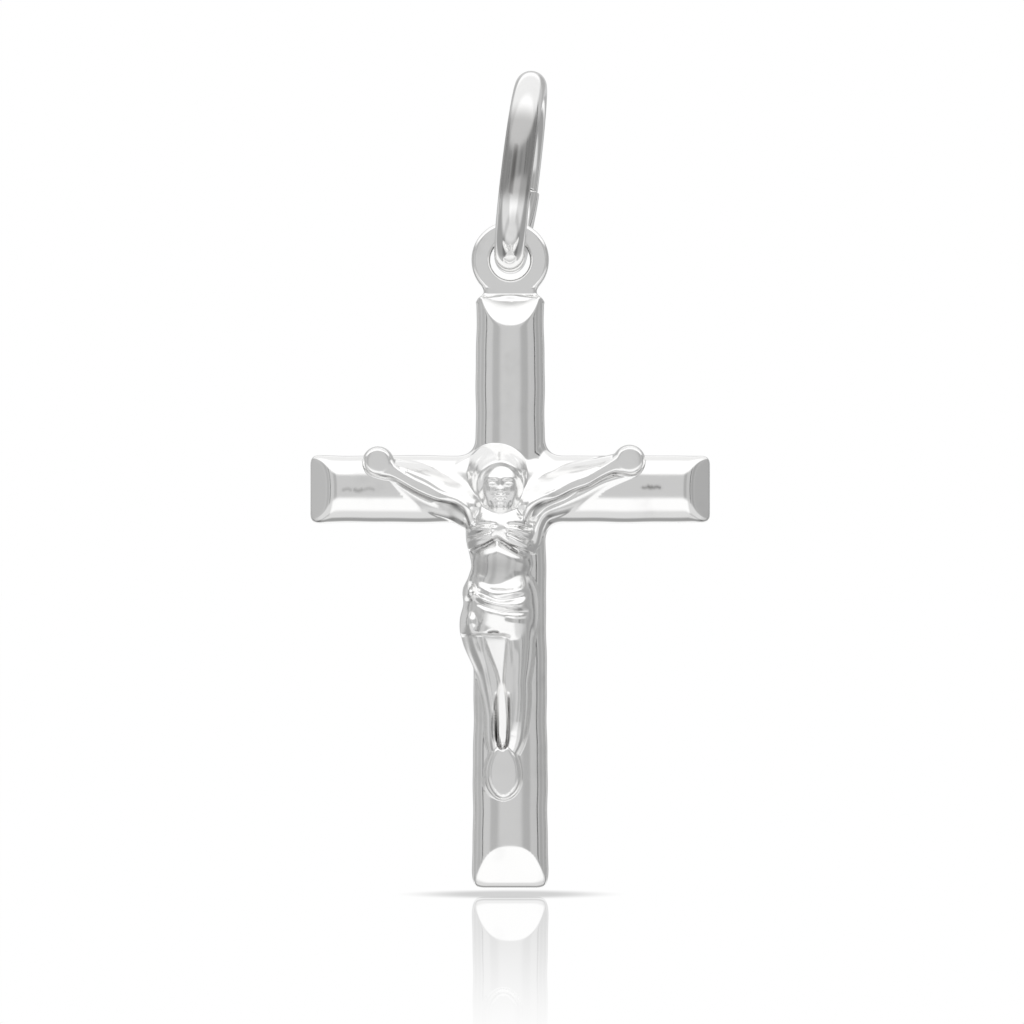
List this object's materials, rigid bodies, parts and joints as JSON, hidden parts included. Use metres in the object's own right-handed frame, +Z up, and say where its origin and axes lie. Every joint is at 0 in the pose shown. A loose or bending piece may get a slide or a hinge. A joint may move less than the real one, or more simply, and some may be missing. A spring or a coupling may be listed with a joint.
{
  "type": "crucifix pendant",
  "caption": "Small polished silver crucifix with a raised figure, sloped bar ends and a flat eyelet that swings on an open round-wire jump ring.",
  "frame": {"origin": "chain seat, on the inside of the jump ring's top, where a chain runs through", "axes": "+Z up, the figure faces -Y, +X to the viewer's right"},
  "size_m": [0.0121, 0.0062, 0.0247],
  "materials": {
    "cast_silver": "polished cast silver, softened by tumbling",
    "wire_silver": "polished drawn silver wire"
  },
  "bodies": {
    "ring": {"jump_ring": "wire_silver"},
    "pendant": {"crucifix": "cast_silver"}
  },
  "joints": [
    {"name": "pendant_swing", "type": "hinge", "parent": "ring", "child": "pendant", "pos_m": [-0.00058, 0, -0.00479], "axis": [0, 1, 0], "range_deg": [-150, 160]}
  ]
}
